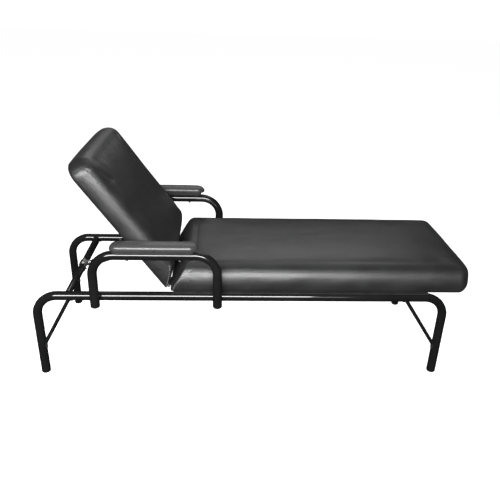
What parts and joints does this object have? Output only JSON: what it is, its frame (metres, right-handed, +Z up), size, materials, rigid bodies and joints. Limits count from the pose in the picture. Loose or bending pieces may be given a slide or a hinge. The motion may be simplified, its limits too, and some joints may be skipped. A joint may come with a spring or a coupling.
{
  "type": "examination couch",
  "caption": "Low treatment couch on a bent tube frame, with padded armrests, a long flat cushion and a head section that tilts up on a ratchet stay.",
  "frame": {"origin": "on the floor, under the centre of the bounding box with the backrest raised", "axes": "+X to the foot end, +Y to the patient's left, +Z up"},
  "size_m": [1.808, 0.749, 0.9518],
  "materials": {
    "black_enamel": "gloss",
    "couch_vinyl": "satin",
    "arm_vinyl": "satin",
    "foam": "matte",
    "plywood": "matte",
    "black_board": "satin",
    "black_plastic": "satin",
    "rubber": "matte",
    "spring_steel": "satin",
    "zinc": "satin"
  },
  "bodies": {
    "frame": {"arm_pad_base_left": "black_board", "arm_pad_base_right": "black_board", "arm_pad_cushion_left": "arm_vinyl", "arm_pad_cushion_right": "arm_vinyl", "arm_pad_screws_left": "zinc", "arm_pad_screws_right": "zinc", "armrest_bolts_left": "zinc", "armrest_bolts_right": "zinc", "armrest_inserts_left": "zinc", "armrest_inserts_right": "zinc", "armrest_plugs_left": "black_plastic", "armrest_plugs_right": "black_plastic", "armrest_tube_left": "black_enamel", "armrest_tube_right": "black_enamel", "brace_foot_left": "black_enamel", "brace_foot_right": "black_enamel", "brace_head_left": "black_enamel", "brace_head_right": "black_enamel", "foot_cross_tube": "black_enamel", "foot_glide_foot_left": "black_plastic", "foot_glide_foot_right": "black_plastic", "foot_glide_head_left": "black_plastic", "foot_glide_head_right": "black_plastic", "head_cross_tube": "black_enamel", "hinge_fixed_leaf_left": "zinc", "hinge_fixed_leaf_middle": "zinc", "hinge_fixed_leaf_right": "zinc", "hinge_fixed_screws": "zinc", "hinge_pins": "zinc", "middle_cross_tube": "black_enamel", "seat_board": "plywood", "seat_bolts": "zinc", "seat_cover": "couch_vinyl", "seat_foam": "foam", "seat_spacers": "zinc", "seat_strip_left": "rubber", "seat_strip_right": "rubber", "seat_tee_nuts": "zinc", "side_frame_left": "black_enamel", "side_frame_right": "black_enamel", "stay_clamp": "zinc", "stay_clamp_bolt": "zinc", "stay_lower_pin": "zinc"},
    "backrest": {"back_board": "plywood", "back_bracket": "zinc", "back_bracket_screws": "zinc", "back_buffer_screws": "zinc", "back_buffers": "rubber", "back_cover": "couch_vinyl", "back_foam": "foam", "hinge_moving_leaf_left": "zinc", "hinge_moving_leaf_middle": "zinc", "hinge_moving_leaf_right": "zinc", "hinge_moving_screws": "zinc"},
    "stay_outer": {"stay_channel": "zinc", "stay_pawl": "spring_steel"},
    "stay_inner": {"stay_rod": "zinc", "stay_upper_pin": "zinc"}
  },
  "joints": [
    {"name": "backrest_tilt", "type": "hinge", "parent": "frame", "child": "backrest", "pos_m": [-0.346, 0, 0.396], "axis": [0, 1, 0], "range_deg": [-54.4, 0]},
    {"name": "stay_swing", "type": "hinge", "parent": "frame", "child": "stay_outer", "pos_m": [-0.729, 0, 0.384], "axis": [0, 1, 0], "range_deg": [0, 23.2]},
    {"name": "stay_extend", "type": "slide", "parent": "stay_outer", "child": "stay_inner", "axis": [0.9426, 0, 0.3339], "range_m": [-0.0613, 0]}
  ],
  "couplings": [
    {"joint": "stay_swing", "follows": "backrest_tilt", "ratio": -0.4257},
    {"joint": "stay_extend", "follows": "backrest_tilt", "m_per_rad": 0.0645}
  ]
}
